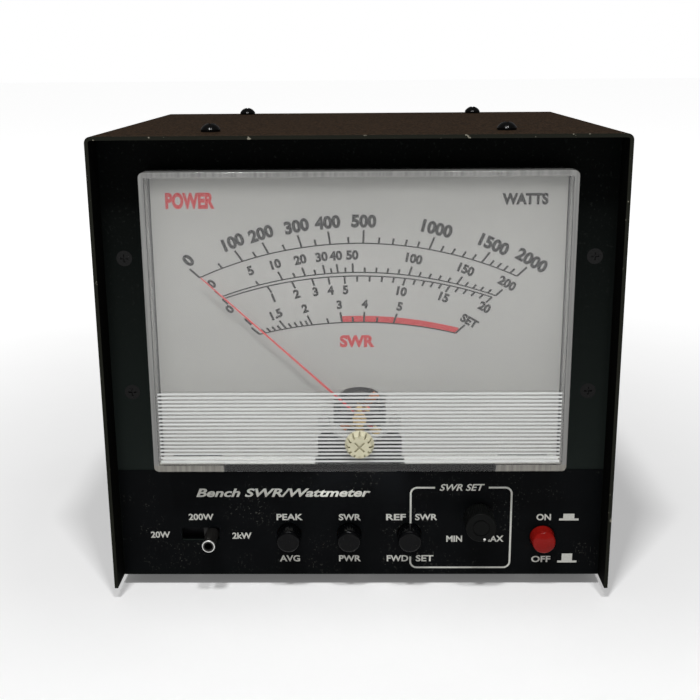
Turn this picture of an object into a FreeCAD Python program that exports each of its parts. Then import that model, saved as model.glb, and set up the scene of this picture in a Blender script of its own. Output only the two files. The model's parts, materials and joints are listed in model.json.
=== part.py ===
import FreeCAD, Part
import math
import os

# Bench SWR and power meter: a folded steel case with a large moving-coil meter, a row of controls
# under it and two coaxial sockets behind.
# Every piece is drawn in case coordinates, in millimetres: x from the centre line to the right,
# y as depth behind the front edge of the cover, z as height above the underside of the case.
# write() moves the pieces into the model's frame: the floor under the feet is z = 0, and the box
# around the whole meter is centred on y = 0.

Vector = FreeCAD.Vector

# ---- Driving dimensions ----
CASE_WIDTH = 203.0
CASE_HEIGHT = 183.5
COVER_DEPTH = 174.5
COVER_SHEET = 1.4
COVER_BEND = 2.4
SHEET = 1.2                  # front panel and tray
PANEL_FACE = 12.7            # depth of the front panel's face behind the cover's front edge
REAR_FACE = 172.0            # depth of the rear panel's outer face
FOOT_HEIGHT = 5.0
OVERLAY = 0.4
OVERLAY_TOP = 47.2

METER_WIDTH = 164.4
METER_BOTTOM = 51.5
METER_TOP = 170.3
METER_FACE = -1.0
WINDOW_WALL = 2.0
RIB_BOTTOM = 54.9
RIB_TOP = 86.0
RIB_COUNT = 20
RIB_GROOVE_WIDTH = 0.8
RIB_GROOVE_DEPTH = 0.3
WINDOW_BOTTOM_WALL = 2.8

DIAL_FACE = 9.3
DIAL_SHEET = 0.6
PIVOT_HEIGHT = 72.3
NEEDLE_LENGTH = 83.5
NEEDLE_ROOT_HALF = 0.45      # half the blade's width at the hub and at the tip
NEEDLE_TIP_HALF = 0.2
NEEDLE_REST = -47.2          # degrees from upright, at zero
NEEDLE_FACE = 6.7
DIAL_SCREW_X = 14.2
DIAL_SCREW_HEIGHT = 70.2
APERTURE_HALF = 10.5         # the domed opening in the dial
APERTURE_SPRING = 80.2       # height where its sides end and its arch starts
APERTURE_TOP = 84.0
DIFFUSER_INNER = 18.0
DIFFUSER_OUTER = 79.7
DIFFUSER_SHEET = 0.5
LAMP_HALF = 6.0
LAMP_X = 66.0
BRIDGE_FACE = 4.2
BRIDGE_SHEET = 1.2
ARM_FACE = 3.2
ARM_SHEET = 0.6
CORE_RADIUS = 7.8
YOKE_INNER = 10.7
YOKE_OUTER = 15.0
YOKE_FRONT = 16.0
YOKE_BACK = 29.0
TUB_BACK = 40.0
COIL_OVERHANG = 2.0          # the coil stands out this far before and behind the yoke

ADJUSTER_HEIGHT = 63.1
ADJUSTER_RADIUS = 5.8        # at the window; the head tapers forwards
ADJUSTER_TIP_RADIUS = 4.6
ADJUSTER_PROUD = 3.4
ADJUSTER_SLITS = 12
SLIT_WIDTH = 0.75
SLIT_FLOOR = 3.7             # radius where the slits in the head's side end
ADJUSTER_PIN = 2.4           # eccentricity of the pin behind the adjuster

CONTROL_HEIGHT = 18.6
SLOT_CENTRE_X = -66.9
SLOT_LENGTH = 15.7
SLOT_HEIGHT = 5.8
LEVER_REST_X = -62.0
LEVER_RADIUS = 2.7
LEVER_TIP = 0.1
CARRIAGE_HALF = 4.0
CHANNEL_HALF = 3.65
BUTTON_X = {"peak": -29.7, "mode": -4.6, "reflected": 20.5}
BUTTON_RADIUS = 4.8
BUTTON_FACE = 4.0
POWER_X = 76.0
POWER_HEIGHT = 17.0
POWER_RADIUS = 5.1
POWER_NOSE = 4.7             # radius where the cap's taper meets its dome
POWER_FACE = 5.5
POWER_DOME = 1.2
BUTTON_TAIL = 15.6           # depth where the button caps end, behind the panel
PLUNGER_HALF = 1.8
PLUNGER_TIP = 9.0
SWITCH_FRONT = 19.2
KNOB_X = 49.2
KNOB_HEIGHT = 26.3
KNOB_RADIUS = 6.2
KNOB_FACE = 0.9
SHAFT_RADIUS = 3.0
BOARD_FRONT = 30.0
BOARD_SHEET = 1.6
BOARD_HALF = 88.0

BRACKET_X = 92.0
BRACKET_SHEET = 1.6
BRACKET_SCREW_HEIGHTS = (80.9, 135.7)
COVER_SCREW_X = 57.9
COVER_SCREW_DEPTHS = (25.5, 165.5)
DOME_RADIUS = 3.85
DOME_BASE = 0.9              # straight side of the cover screws' heads
DOME_RISE = 2.4
FOOT_X = 84.0
FOOT_DEPTHS = (32.0, 156.0)

SOCKET_X = 32.0
SOCKET_HEIGHT = 78.0
SOCKET_REACH = 18.0          # how far the sockets stand out behind the rear panel
SOCKET_THREAD = 7.94
SOCKET_SCREW = 9.1           # half the spacing of the four flange screws
COUPLER_HALF = 52.0
COUPLER_LOW = 56.0
COUPLER_HIGH = 100.0
COUPLER_FRONT = 128.0
LINE_DEPTH = 150.0
JACK_X = 66.0
JACK_HEIGHT = 24.0

SCREW_RADIUS = 1.45          # M3 machine screw
THREAD_RADIUS = 1.5          # its threaded hole
CLEAR_RADIUS = 1.7           # its clearance hole
HEAD_RADIUS = 2.8
HEAD_HEIGHT = 1.8
SCREW_LENGTH = 6.0
FIT = 0.05                   # running clearance of a shaft in its hole

PANEL_BACK = PANEL_FACE + SHEET
REAR_INNER = REAR_FACE - SHEET
COVER_INNER_TOP = CASE_HEIGHT - COVER_SHEET
DIAL_BACK = DIAL_FACE + DIAL_SHEET
ADJUSTER_FACE = METER_FACE - ADJUSTER_PROUD
WINDOW_FLOOR = METER_BOTTOM + WINDOW_BOTTOM_WALL
LUG_FRONT = DIAL_BACK + BRIDGE_SHEET
COIL_FRONT = YOKE_FRONT - COIL_OVERHANG
COIL_BACK = YOKE_BACK + COIL_OVERHANG
MODEL_DEPTH = REAR_FACE + SOCKET_REACH - ADJUSTER_FACE
TO_MODEL = Vector(0, -(ADJUSTER_FACE + MODEL_DEPTH / 2), FOOT_HEIGHT)


# ---- Small shape helpers ----
def box(x0, x1, y0, y1, z0, z1):
    return Part.makeBox(x1 - x0, y1 - y0, z1 - z0, Vector(x0, y0, z0))


def side_box(side, near, far, y0, y1, z0, z1):
    """A box on one side of the middle; side is -1 or +1, near and far are distances from the middle."""
    return box(min(side * near, side * far), max(side * near, side * far), y0, y1, z0, z1)


def rod_y(x, z, radius, y0, y1):
    return Part.makeCylinder(radius, y1 - y0, Vector(x, y0, z), Vector(0, 1, 0))


def rod_z(x, y, radius, z0, z1):
    return Part.makeCylinder(radius, z1 - z0, Vector(x, y, z0), Vector(0, 0, 1))


def rod_x(y, z, radius, x0, x1):
    return Part.makeCylinder(radius, x1 - x0, Vector(x0, y, z), Vector(1, 0, 0))


def tube_y(x, z, outer, inner, y0, y1):
    return rod_y(x, z, outer, y0, y1).cut(rod_y(x, z, inner, y0, y1))


def joined(shapes):
    return shapes[0].multiFuse(shapes[1:]).removeSplitter()


def without(shape, cutters):
    return shape.cut(cutters)


def turned(shape, degrees):
    """A copy of a shape turned about the meter's pivot, clockwise as seen from the front."""
    copy = shape.copy()
    copy.rotate(Vector(0, 0, PIVOT_HEIGHT), Vector(0, 1, 0), degrees)
    return copy


def rounded(shape, radius, axis):
    """Rounds the straight edges of a box that run along one axis."""
    edges = [edge for edge in shape.Edges if abs(edge.tangentAt(edge.FirstParameter).dot(axis)) > 0.99]
    return shape.makeFillet(radius, edges)


def corners(half_x, values):
    return [(side * half_x, value) for side in (-1, 1) for value in values]


def cross_slot(centre_x, centre_z, y0, y1, length, width):
    """A cross recess, set square, for cutting into a face that looks forwards or backwards."""
    reach, half = length / 2, width / 2
    flat = box(centre_x - reach, centre_x + reach, y0, y1, centre_z - half, centre_z + half)
    tall = box(centre_x - half, centre_x + half, y0, y1, centre_z - reach, centre_z + reach)
    return flat.fuse(tall)


def pan_screw(place, direction, length=SCREW_LENGTH):
    """A pan-head machine screw with its head's seat at place and its shank along direction."""
    shank = Part.makeCylinder(SCREW_RADIUS, length, Vector(0, 0, 0), Vector(0, 0, 1))
    head = Part.makeCylinder(HEAD_RADIUS, HEAD_HEIGHT, Vector(0, 0, -HEAD_HEIGHT), Vector(0, 0, 1))
    head = head.makeFillet(0.8, [edge for edge in head.Edges if edge.BoundBox.ZMax < -1])
    screw = joined([shank, head])
    slots = [Part.makeBox(3.0, 0.7, 1.0, Vector(-1.5, -0.35, -HEAD_HEIGHT)),
             Part.makeBox(0.7, 3.0, 1.0, Vector(-0.35, -1.5, -HEAD_HEIGHT))]
    screw = without(screw, slots)
    screw.Placement = FreeCAD.Placement(place, FreeCAD.Rotation(Vector(0, 0, 1), direction))
    return screw


def write(name, *shapes):
    """Writes one node: a single solid, or several alike as a compound."""
    shape = shapes[0].copy() if len(shapes) == 1 else Part.makeCompound(list(shapes))
    shape.translate(TO_MODEL)
    shape.exportStep("parts/" + name + ".step")
    solids = shape.Solids
    volume = sum(solid.Volume for solid in solids)
    print("%-22s solids %2d  valid %s  volume %9.1f" % (name, len(solids), shape.isValid(), volume))


# ---- Case ----
def bent_cover():
    """The wrap-around cover: an inverted U of sheet with rounded bends, open at both ends."""
    half = CASE_WIDTH / 2
    outer = box(-half, half, 0, COVER_DEPTH, 0, CASE_HEIGHT)
    top_edges = [edge for edge in outer.Edges
                 if edge.BoundBox.ZMin > CASE_HEIGHT - 0.1 and edge.BoundBox.YLength > COVER_DEPTH - 1]
    outer = outer.makeFillet(COVER_BEND, top_edges)
    inner = box(-half + COVER_SHEET, half - COVER_SHEET, -1, COVER_DEPTH + 1, -1, COVER_INNER_TOP)
    top_edges = [edge for edge in inner.Edges
                 if edge.BoundBox.ZMin > COVER_INNER_TOP - 0.1 and edge.BoundBox.YLength > COVER_DEPTH - 1]
    inner = inner.makeFillet(COVER_BEND - COVER_SHEET, top_edges)
    holes = [rod_z(x, y, CLEAR_RADIUS, CASE_HEIGHT - 3, CASE_HEIGHT + 1)
             for x, y in corners(COVER_SCREW_X, COVER_SCREW_DEPTHS)]
    return without(outer, [inner] + holes)


def domed_screw(x, y):
    """A black dome-head cover screw, pointing down from the top of the cover."""
    ball = (DOME_RADIUS ** 2 + DOME_RISE ** 2) / (2 * DOME_RISE)
    top = CASE_HEIGHT + DOME_BASE + DOME_RISE
    dome = Part.makeSphere(ball, Vector(x, y, top - ball))
    dome = dome.common(rod_z(x, y, DOME_RADIUS, CASE_HEIGHT + DOME_BASE, top + 1))
    head = rod_z(x, y, DOME_RADIUS, CASE_HEIGHT, CASE_HEIGHT + DOME_BASE)
    shank = rod_z(x, y, SCREW_RADIUS, CASE_HEIGHT - SCREW_LENGTH, CASE_HEIGHT)
    screw = joined([head, dome, shank])
    slots = [box(x - 1.7, x + 1.7, y - 0.4, y + 0.4, top - 1.3, top + 1),
             box(x - 0.4, x + 0.4, y - 1.7, y + 1.7, top - 1.3, top + 1)]
    return without(screw, slots)


def control_holes(depth0, depth1):
    """Cutters for the holes under the meter: lever slot, push buttons, knob shaft."""
    half = SLOT_LENGTH / 2
    slot = box(SLOT_CENTRE_X - half, SLOT_CENTRE_X + half, depth0, depth1,
               CONTROL_HEIGHT - SLOT_HEIGHT / 2, CONTROL_HEIGHT + SLOT_HEIGHT / 2)
    cutters = [rounded(slot, 0.8, Vector(0, 1, 0))]
    cutters += [rod_y(x, CONTROL_HEIGHT, BUTTON_RADIUS + 0.3, depth0, depth1) for x in BUTTON_X.values()]
    cutters.append(rod_y(POWER_X, POWER_HEIGHT, POWER_RADIUS + 0.3, depth0, depth1))
    cutters.append(rod_y(KNOB_X, KNOB_HEIGHT, SHAFT_RADIUS + 1.0, depth0, depth1))
    return cutters


def folded_front_panel():
    """The front panel with a deep top flange for the cover screws and a short bottom flange."""
    half = CASE_WIDTH / 2 - COVER_SHEET - 0.1
    flange_half = half - 2.4
    sheet = box(-half, half, PANEL_FACE, PANEL_BACK, 0, COVER_INNER_TOP)
    sheet = sheet.makeFillet(1.0, [edge for edge in sheet.Edges if edge.BoundBox.ZMin > COVER_INNER_TOP - 0.1
                                   and edge.BoundBox.YLength > 1])
    top = box(-flange_half, flange_half, PANEL_FACE, PANEL_FACE + 34,
              COVER_INNER_TOP - SHEET, COVER_INNER_TOP)
    foot = box(-flange_half, flange_half, PANEL_FACE, PANEL_FACE + 14, SHEET, 2 * SHEET)
    meter_cutout = box(-76, 76, PANEL_FACE - 1, PANEL_BACK + 1, 60, 165)
    tub_cutout = box(-22.4, 22.4, PANEL_FACE - 1, PANEL_BACK + 1, METER_BOTTOM + 2, 61)
    cutters = [meter_cutout, tub_cutout] + control_holes(PANEL_FACE - 1, PANEL_BACK + 1)
    for x, z in corners(BRACKET_X, BRACKET_SCREW_HEIGHTS):
        cutters.append(rod_y(x, z, CLEAR_RADIUS, PANEL_FACE - 1, PANEL_BACK + 1))
        cutters.append(Part.makeCone(3.12, CLEAR_RADIUS, 1.2, Vector(x, PANEL_FACE, z), Vector(0, 1, 0)))
    for x in (-COVER_SCREW_X, COVER_SCREW_X):
        cutters.append(rod_z(x, COVER_SCREW_DEPTHS[0], THREAD_RADIUS,
                             COVER_INNER_TOP - 2, COVER_INNER_TOP + 1))
    for x in (-70, 0, 70):
        cutters.append(rod_z(x, PANEL_FACE + 9, THREAD_RADIUS, 0, 3))
    return without(joined([sheet, top, foot]), cutters)


def folded_tray():
    """The tray: bottom, low side flanges and the rear panel with a flange for the cover screws."""
    half = CASE_WIDTH / 2 - COVER_SHEET - 0.1
    bottom = box(-half, half, PANEL_BACK, REAR_FACE, 0, SHEET)
    sides = [box(side * half - (SHEET if side > 0 else 0), side * half + (SHEET if side < 0 else 0),
                 PANEL_BACK + 16, REAR_FACE, 0, 14) for side in (-1, 1)]
    rear = box(-half, half, REAR_INNER, REAR_FACE, 0, COVER_INNER_TOP)
    rear = rear.makeFillet(1.0, [edge for edge in rear.Edges if edge.BoundBox.ZMin > COVER_INNER_TOP - 0.1
                                 and edge.BoundBox.YLength > 1])
    top = box(-half + 2.4, half - 2.4, REAR_FACE - 14, REAR_FACE, COVER_INNER_TOP - SHEET, COVER_INNER_TOP)
    cutters = [rod_y(side * SOCKET_X, SOCKET_HEIGHT, 7.1, REAR_INNER - 1, REAR_FACE + 1) for side in (-1, 1)]
    cutters += [rod_y(x, z, CLEAR_RADIUS, REAR_INNER - 1, REAR_FACE + 1) for x, z in socket_screw_places()]
    cutters.append(rod_y(JACK_X, JACK_HEIGHT, 4.05, REAR_INNER - 1, REAR_FACE + 1))
    for x in (-COVER_SCREW_X, COVER_SCREW_X):
        cutters.append(rod_z(x, COVER_SCREW_DEPTHS[1], THREAD_RADIUS,
                             COVER_INNER_TOP - 2, COVER_INNER_TOP + 1))
    cutters += [rod_z(x, PANEL_FACE + 9, CLEAR_RADIUS, -1, 3) for x in (-70, 0, 70)]
    cutters += [rod_z(x, y, THREAD_RADIUS, -1, 3) for x, y in corners(FOOT_X, FOOT_DEPTHS)]
    return without(joined([bottom, rear, top] + sides), cutters)


def overlay_strip():
    """The thin printed strip over the lower front panel."""
    half = CASE_WIDTH / 2 - COVER_SHEET - 0.4
    strip = box(-half, half, PANEL_FACE - OVERLAY, PANEL_FACE, 0.6, OVERLAY_TOP)
    return without(strip, control_holes(PANEL_FACE - 1, PANEL_FACE + 1))


def rubber_foot(x, y):
    foot = Part.makeCone(7.0, 8.0, FOOT_HEIGHT, Vector(x, y, -FOOT_HEIGHT), Vector(0, 0, 1))
    foot = foot.makeFillet(0.8, [edge for edge in foot.Edges if edge.BoundBox.ZMax < -FOOT_HEIGHT + 0.1])
    recess = rod_z(x, y, 3.2, -FOOT_HEIGHT - 1, -2.4)
    return without(foot, [recess, rod_z(x, y, CLEAR_RADIUS, -3, 1)])


def machine_screws():
    """All the plain pan-head screws: feet, panel to tray, meter base and control board."""
    up = Vector(0, 0, 1)
    forward = Vector(0, -1, 0)
    screws = [pan_screw(Vector(x, y, -2.4), up) for x, y in corners(FOOT_X, FOOT_DEPTHS)]
    screws += [pan_screw(Vector(x, PANEL_FACE + 9, 0), up) for x in (-70, 0, 70)]
    screws += [pan_screw(Vector(x, PANEL_BACK + BRACKET_SHEET, z), forward, 4.5)
               for x, z in base_boss_places()]
    screws += [pan_screw(Vector(x, BOARD_FRONT + BOARD_SHEET, z), forward) for x, z in standoff_places()]
    return screws


# ---- Meter: window, housing, dial ----
def ribbed_window():
    """The clear moulded window: a shallow open-backed box with ribs across its lower face."""
    half = METER_WIDTH / 2
    shell = box(-half, half, METER_FACE, PANEL_FACE, METER_BOTTOM, METER_TOP)
    shell = rounded(shell, 2.0, Vector(0, 1, 0))
    shell = shell.makeFillet(0.6, [edge for edge in shell.Edges if edge.BoundBox.YMax < METER_FACE + 0.01])
    hollow = box(-half + WINDOW_WALL, half - WINDOW_WALL, METER_FACE + WINDOW_WALL, PANEL_FACE + 1,
                 WINDOW_FLOOR, METER_TOP - WINDOW_WALL)
    pitch = (RIB_TOP - RIB_BOTTOM) / RIB_COUNT
    grooves = [box(-half + 3, half - 3, METER_FACE - 1, METER_FACE + RIB_GROOVE_DEPTH,
                   RIB_BOTTOM + index * pitch, RIB_BOTTOM + index * pitch + RIB_GROOVE_WIDTH)
               for index in range(RIB_COUNT)]
    adjuster_hole = rod_y(0, ADJUSTER_HEIGHT, 3.0 + FIT, METER_FACE - 1, METER_FACE + 3)
    return without(shell, [hollow, adjuster_hole] + grooves)


def base_boss_places():
    return corners(71.0, (68.0, 157.0))


def meter_base():
    """The black housing: a flange inside the window and a tub behind it for the movement."""
    half = METER_WIDTH / 2 - WINDOW_WALL - 0.2
    low = WINDOW_FLOOR + 0.2
    flange = box(-half, half, DIAL_BACK, PANEL_FACE, low, METER_TOP - WINDOW_WALL - 0.2)
    tub = box(-22, 22, DIAL_BACK, TUB_BACK, low, 90.2)
    bosses = [box(x - 4.5, x + 4.5, DIAL_BACK, PANEL_BACK, z - 4.5, z + 4.5) for x, z in base_boss_places()]
    seats = [rod_y(0, PIVOT_HEIGHT + side * 12.8, 2.2, YOKE_BACK, TUB_BACK - 1) for side in (-1, 1)]
    hollow = box(-20, 20, DIAL_BACK - 1, TUB_BACK - 2, low + 1.3, 88.2)
    cutters = [hollow]
    cutters += [rod_y(x, z, THREAD_RADIUS, DIAL_BACK + 0.8, PANEL_BACK + 1) for x, z in base_boss_places()]
    for side in (-1, 1):
        cutters.append(side_box(side, LAMP_X - 10, LAMP_X + 10, DIAL_BACK - 1, 12.0, low + 0.5, low + 4.1))
        cutters.append(rod_y(side * 14, 80.0, 2.05, TUB_BACK - 3, TUB_BACK + 1))
    body = without(joined([flange, tub] + bosses), cutters)
    return joined([body] + seats)


def dial_plate():
    """The dial, with a domed opening for the movement, two screw holes and slots for the lamps' light."""
    half = METER_WIDTH / 2 - WINDOW_WALL - 0.5
    front, back = DIAL_FACE - 1, DIAL_BACK + 1
    plate = box(-half, half, DIAL_FACE, DIAL_BACK, WINDOW_FLOOR + 0.25, METER_TOP - WINDOW_WALL - 0.6)
    opening = box(-APERTURE_HALF, APERTURE_HALF, front, back, 60.0, APERTURE_SPRING)
    rise = APERTURE_TOP - APERTURE_SPRING
    arch_radius = (APERTURE_HALF ** 2 + rise ** 2) / (2 * rise)
    arch = rod_y(0, APERTURE_TOP - arch_radius, arch_radius, front, back)
    arch = arch.common(box(-APERTURE_HALF, APERTURE_HALF, front, back,
                           APERTURE_SPRING - 0.1, APERTURE_TOP + 1))
    block = rounded(box(-17, 17, front, back, 50.0, 65.0), 3.0, Vector(0, 1, 0))
    cutters = [opening, arch, block]
    for side in (-1, 1):
        cutters.append(rod_y(side * DIAL_SCREW_X, DIAL_SCREW_HEIGHT, 1.35, front, back))
        cutters.append(side_box(side, LAMP_X - 10, LAMP_X + 10, front, back,
                                WINDOW_FLOOR, WINDOW_FLOOR + 1.1))
    return without(plate, cutters)


def dial_screw(x):
    head = rod_y(x, DIAL_SCREW_HEIGHT, 2.3, DIAL_FACE - 1.1, DIAL_FACE)
    head = head.makeFillet(0.5, [edge for edge in head.Edges if edge.BoundBox.YMax < DIAL_FACE - 1])
    shank = rod_y(x, DIAL_SCREW_HEIGHT, 1.2, DIAL_FACE, DIAL_FACE + 5.2)
    slot = box(x - 3, x + 3, DIAL_FACE - 2, DIAL_FACE - 0.6, DIAL_SCREW_HEIGHT - 0.3, DIAL_SCREW_HEIGHT + 0.3)
    return without(joined([head, shank]), [slot])


# ---- Meter: movement ----
def movement_bridge():
    """The front bridge: a hat-shaped strap over the needle's hub, with feet under the dial screws."""
    z0 = PIVOT_HEIGHT - 1.7
    z1 = PIVOT_HEIGHT + 1.7
    strap = box(-10, 10, BRIDGE_FACE, BRIDGE_FACE + BRIDGE_SHEET, z0, z1)
    legs = [side_box(side, 8.8, 10, BRIDGE_FACE, LUG_FRONT, z0, z1) for side in (-1, 1)]
    feet = [side_box(side, 8.8, 17, DIAL_BACK, LUG_FRONT, DIAL_SCREW_HEIGHT - 2.6, z1) for side in (-1, 1)]
    holes = [rod_y(side * DIAL_SCREW_X, DIAL_SCREW_HEIGHT, 1.35, DIAL_BACK - 1, LUG_FRONT + 1)
             for side in (-1, 1)]
    holes.append(rod_y(0, PIVOT_HEIGHT, 1.62, BRIDGE_FACE - 1, BRIDGE_FACE + 3))
    return without(joined([strap] + legs + feet), holes)


def jewel_screw(front, reach):
    """A brass pivot screw with a jewel cup; reach is +1 if the cup looks back, -1 if it looks forward."""
    far = front + reach * 3.2
    stem = rod_y(0, PIVOT_HEIGHT, 1.6, min(front, far), max(front, far))
    cup_end = far - reach * 1.2
    cup = rod_y(0, PIVOT_HEIGHT, 0.5 + FIT, min(far, cup_end), max(far, cup_end))
    slot_end = front + reach * 0.6
    slot = box(-2, 2, min(front, slot_end), max(front, slot_end), PIVOT_HEIGHT - 0.25, PIVOT_HEIGHT + 0.25)
    return without(stem, [cup, slot])


def movement_frame():
    """The lugs that carry the bridge and the dial, joined by a ring on the yoke's front face."""
    ring = tube_y(0, PIVOT_HEIGHT, 13.6, YOKE_INNER, YOKE_FRONT - 1.2, YOKE_FRONT)
    parts = [ring]
    for side in (-1, 1):
        parts.append(side_box(side, 12.2, 17, YOKE_FRONT - 1.2, YOKE_FRONT,
                              DIAL_SCREW_HEIGHT - 3, DIAL_SCREW_HEIGHT + 3))
        parts.append(rod_y(side * DIAL_SCREW_X, DIAL_SCREW_HEIGHT, 2.3, LUG_FRONT, YOKE_FRONT - 1.2))
    holes = [rod_y(side * DIAL_SCREW_X, DIAL_SCREW_HEIGHT, 1.25, LUG_FRONT - 1, YOKE_FRONT - 1.2)
             for side in (-1, 1)]
    return without(joined(parts), holes)


def core_support():
    """The brass key that holds the core inside the yoke, below the coil's sweep."""
    key = box(-2, 2, YOKE_FRONT + 2, YOKE_BACK - 2, PIVOT_HEIGHT - 14, PIVOT_HEIGHT)
    key = key.common(rod_y(0, PIVOT_HEIGHT, YOKE_INNER, YOKE_FRONT, YOKE_BACK))
    return key.cut(rod_y(0, PIVOT_HEIGHT, CORE_RADIUS, YOKE_FRONT, YOKE_BACK))


def rear_bridge():
    """The rear bridge: a bar on two posts behind the yoke, holding the rear pivot screw."""
    bar = box(-15, 15, YOKE_BACK + 4, YOKE_BACK + 5.2, PIVOT_HEIGHT - 3, PIVOT_HEIGHT + 3)
    posts = [rod_y(side * 12.8, PIVOT_HEIGHT, 1.9, YOKE_BACK, YOKE_BACK + 4) for side in (-1, 1)]
    hole = rod_y(0, PIVOT_HEIGHT, 1.62, YOKE_BACK + 3, YOKE_BACK + 6)
    return without(joined([bar] + posts), [hole])


def moving_coil():
    """The coil: a rectangular winding round the core, drawn across the needle's direction."""
    outer = box(-10.2, 10.2, COIL_FRONT, COIL_BACK, PIVOT_HEIGHT - 1.5, PIVOT_HEIGHT + 1.5)
    inner = box(-8.4, 8.4, COIL_FRONT + 1.6, COIL_BACK - 1.6, PIVOT_HEIGHT - 2, PIVOT_HEIGHT + 2)
    bores = [rod_y(0, PIVOT_HEIGHT, 0.6, COIL_FRONT - 1, COIL_BACK + 1)]
    return turned(without(outer, [inner] + bores), NEEDLE_REST)


def spindles():
    """The two steel half shafts, each glued into one end of the coil, with a fine pivot."""
    front = joined([rod_y(0, PIVOT_HEIGHT, 0.6, BRIDGE_FACE + 1.5, COIL_FRONT + 1.6),
                    rod_y(0, PIVOT_HEIGHT, 0.5, BRIDGE_FACE + 0.8, BRIDGE_FACE + 1.5)])
    back = joined([rod_y(0, PIVOT_HEIGHT, 0.6, COIL_BACK - 1.6, YOKE_BACK + 3.4),
                   rod_y(0, PIVOT_HEIGHT, 0.5, YOKE_BACK + 3.4, YOKE_BACK + 4.2)])
    return [front, back]


def pointer():
    """The needle: a hub, a long tapered blade and a short tail with a cross arm."""
    face = NEEDLE_FACE
    hub = rod_y(0, PIVOT_HEIGHT, 2.0, face - 0.2, face + 1.2)
    blade_points = [(-NEEDLE_ROOT_HALF, 0), (-NEEDLE_TIP_HALF, NEEDLE_LENGTH),
                    (NEEDLE_TIP_HALF, NEEDLE_LENGTH), (NEEDLE_ROOT_HALF, 0)]
    ring = [Vector(x, face, PIVOT_HEIGHT + z) for x, z in blade_points]
    blade = Part.Face(Part.makePolygon(ring + ring[:1])).extrude(Vector(0, 0.4, 0))
    tail = box(-0.7, 0.7, face, face + 0.6, PIVOT_HEIGHT - 10.5, PIVOT_HEIGHT)
    arm = box(-5.5, 5.5, face, face + 0.6, PIVOT_HEIGHT - 0.6, PIVOT_HEIGHT + 0.6)
    body = joined([hub, blade, tail, arm])
    return turned(body.cut(rod_y(0, PIVOT_HEIGHT, 0.6, face - 1, face + 2)), NEEDLE_REST)


def balance_weights():
    """The weights on the pointer's tail and cross arm that balance the needle about its pivot."""
    face = NEEDLE_FACE
    places = [(0, -8.6, 1.6, 1.9, 2.0), (-4.4, 0, 0.8, 1.1, 1.0), (4.4, 0, 0.8, 1.1, 1.0)]
    weights = []
    for x, z, half_x, half_z, back in places:
        block = box(x - half_x, x + half_x, face - 0.4, face + back,
                    PIVOT_HEIGHT + z - half_z, PIVOT_HEIGHT + z + half_z)
        arm = box(-5.5, 5.5, face, face + 0.6, PIVOT_HEIGHT - 0.6, PIVOT_HEIGHT + 0.6)
        tail = box(-0.7, 0.7, face, face + 0.6, PIVOT_HEIGHT - 10.5, PIVOT_HEIGHT)
        weights.append(turned(without(block, [arm, tail]), NEEDLE_REST))
    return weights


def hairspring(depth, hub_radius, outer_radius):
    """A flat spiral strip around the pivot."""
    turns = 4
    strip = 0.16
    sides = []
    for offset in (0, strip):
        points = []
        for step in range(turns * 12 + 1):
            angle = math.radians(step * 30)
            radius = hub_radius + (outer_radius - hub_radius) * step / (turns * 12) + offset
            points.append(Vector(radius * math.sin(angle), depth, PIVOT_HEIGHT + radius * math.cos(angle)))
        curve = Part.BSplineCurve()
        curve.interpolate(points)
        sides.append(curve.toShape())
    first, second = sides
    start = Part.makeLine(first.Vertexes[0].Point, second.Vertexes[0].Point)
    end = Part.makeLine(second.Vertexes[-1].Point, first.Vertexes[-1].Point)
    outline = Part.Wire(Part.__sortEdges__([first, end, second, start]))
    return Part.Face(outline).extrude(Vector(0, 0.4, 0))


def zero_adjuster():
    """The nylon zero-set screw: a tapered head with a slit side before the window, and an eccentric pin."""
    seat = METER_FACE - FIT
    axis = Vector(0, ADJUSTER_FACE, ADJUSTER_HEIGHT)
    head = Part.makeCone(ADJUSTER_TIP_RADIUS, ADJUSTER_RADIUS, seat - ADJUSTER_FACE, axis, Vector(0, 1, 0))
    slits = []
    for index in range(ADJUSTER_SLITS):
        slit = box(-SLIT_WIDTH / 2, SLIT_WIDTH / 2, ADJUSTER_FACE - 1, seat - 0.4,
                   ADJUSTER_HEIGHT + SLIT_FLOOR, ADJUSTER_HEIGHT + ADJUSTER_RADIUS + 1)
        slit.rotate(axis, Vector(0, 1, 0), index * 360 / ADJUSTER_SLITS)
        slits.append(slit)
    slot = cross_slot(0, ADJUSTER_HEIGHT, ADJUSTER_FACE - 1, ADJUSTER_FACE + 0.7, 5.2, 0.7)
    slot.rotate(axis, Vector(0, 1, 0), 45)
    shaft_end = METER_FACE + WINDOW_WALL + 1.0
    shaft = rod_y(0, ADJUSTER_HEIGHT, 3.0, seat, shaft_end)
    pin = rod_y(0, ADJUSTER_HEIGHT + ADJUSTER_PIN, 0.55, shaft_end, BRIDGE_FACE - 0.2)
    return without(joined([head, shaft, pin]), slits + [slot])


def zero_arm():
    """The brass arm round the front pivot screw: a fork on the adjuster's pin and a spring tab."""
    back = ARM_FACE + ARM_SHEET
    ring = rod_y(0, PIVOT_HEIGHT, 2.8, ARM_FACE, back)
    blade = box(-1.5, 1.5, ARM_FACE, back, ADJUSTER_HEIGHT + 0.6, PIVOT_HEIGHT)
    upper = box(-1.0, 1.0, ARM_FACE, back, PIVOT_HEIGHT, PIVOT_HEIGHT + 6.4)
    tab = box(-1.0, 1.0, ARM_FACE, NEEDLE_FACE - 0.6, PIVOT_HEIGHT + 5.8, PIVOT_HEIGHT + 6.4)
    fork = box(-0.6, 0.6, ARM_FACE - 1, back + 1, ADJUSTER_HEIGHT, ADJUSTER_HEIGHT + ADJUSTER_PIN + 1.4)
    hole = rod_y(0, PIVOT_HEIGHT, 1.6 + FIT, ARM_FACE - 1, back + 1)
    return without(joined([ring, blade, upper, tab]), [fork, hole])


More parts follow.
